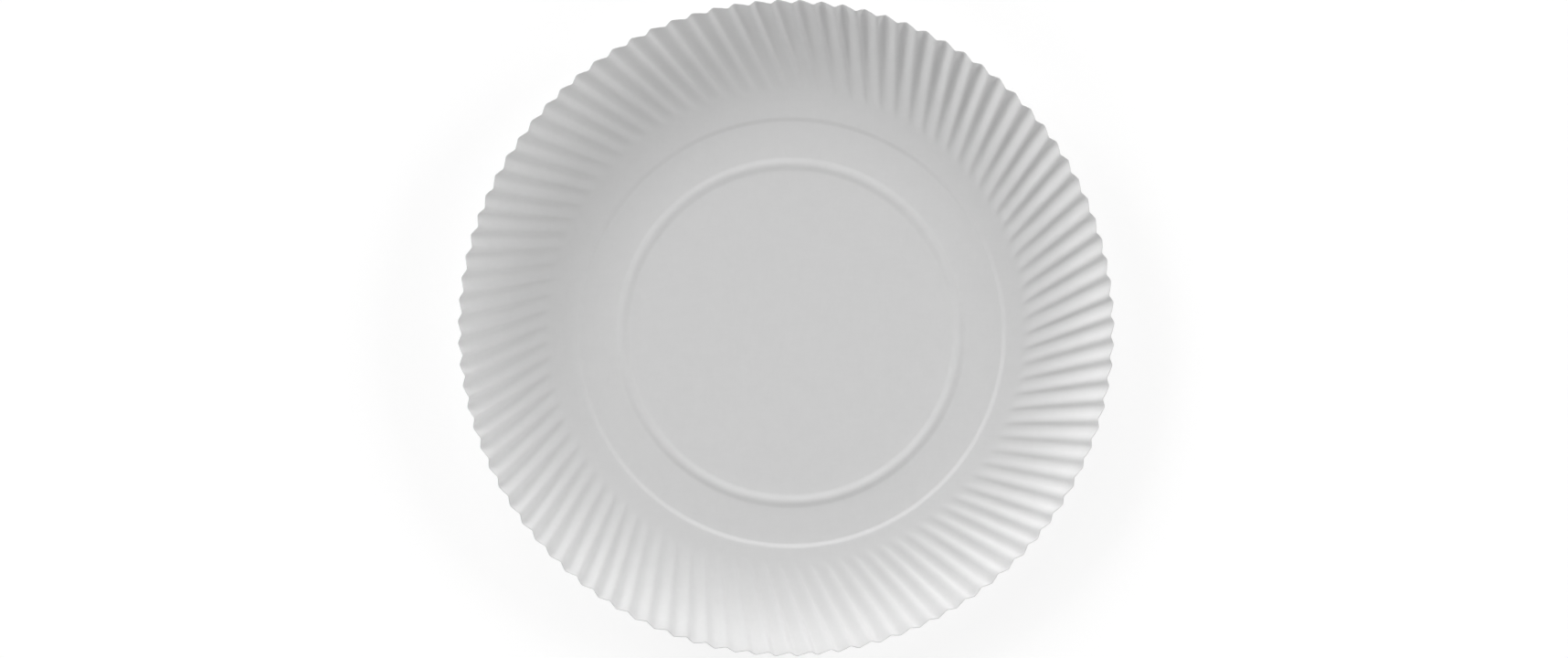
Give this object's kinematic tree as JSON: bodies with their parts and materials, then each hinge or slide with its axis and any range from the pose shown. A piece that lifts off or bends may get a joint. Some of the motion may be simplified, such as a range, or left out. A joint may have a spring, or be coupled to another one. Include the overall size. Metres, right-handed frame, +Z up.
{
  "type": "paper plate",
  "caption": "Round disposable plate pressed from white card, with a flat base, a raised ring in it and a fluted, scalloped wall whose flutes all lean one way, like a swirl.",
  "frame": {"origin": "centre of the flat base's underside, on the surface that the plate rests on", "axes": "+Z up, out of the plate's open side; +X and +Y are the picture's right and up"},
  "size_m": [0.23, 0.2299, 0.0176],
  "materials": {
    "white_card": "matte"
  },
  "bodies": {
    "root": {"plate": "white_card"}
  },
  "joints": []
}
